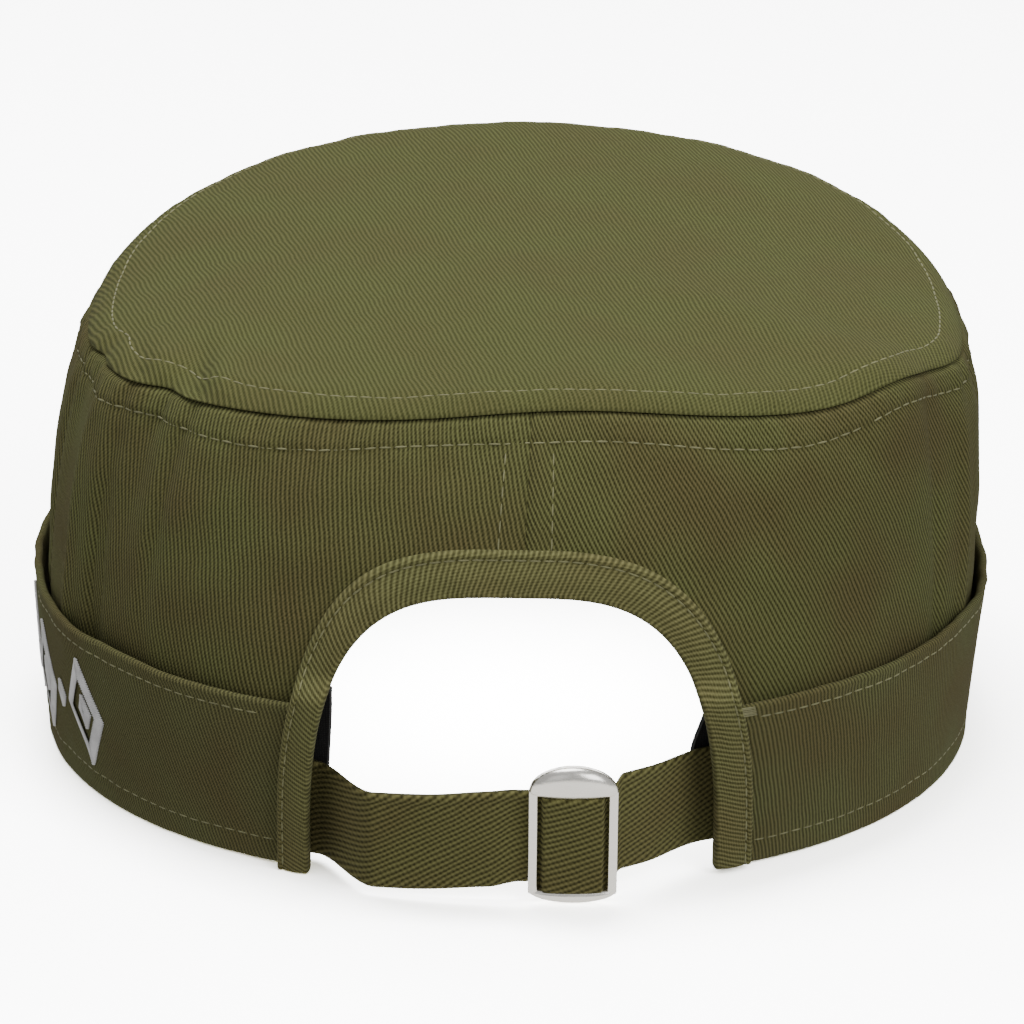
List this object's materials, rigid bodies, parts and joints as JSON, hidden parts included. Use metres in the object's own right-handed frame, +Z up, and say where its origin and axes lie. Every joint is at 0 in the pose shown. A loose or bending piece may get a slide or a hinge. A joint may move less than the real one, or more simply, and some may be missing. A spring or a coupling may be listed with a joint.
{
  "type": "work cap",
  "caption": "Flat-topped twill work cap with a turned-up band, a stiff peak, an arched back opening and a webbing strap with a slide buckle.",
  "frame": {"origin": "middle of the whole cap's footprint, on the surface that it rests on", "axes": "+Z up through the top, -Y forwards to the peak, +Y backwards to the arched opening, +X to the wearer's left"},
  "size_m": [0.1838, 0.2618, 0.0972],
  "materials": {
    "olive_twill": "matt olive cotton twill with topstitching",
    "olive_webbing": "matt olive twill webbing with woven edges",
    "black_tape": "matt black cotton tape",
    "satin_nickel": "satin nickel plate"
  },
  "bodies": {
    "root": {"top_panel": "olive_twill", "side_panel_left": "olive_twill", "side_panel_right": "olive_twill", "band": "olive_twill", "arch_binding": "olive_twill", "peak": "olive_twill", "strap": "olive_webbing", "sweatband": "black_tape", "slide_buckle": "satin_nickel"}
  },
  "joints": []
}
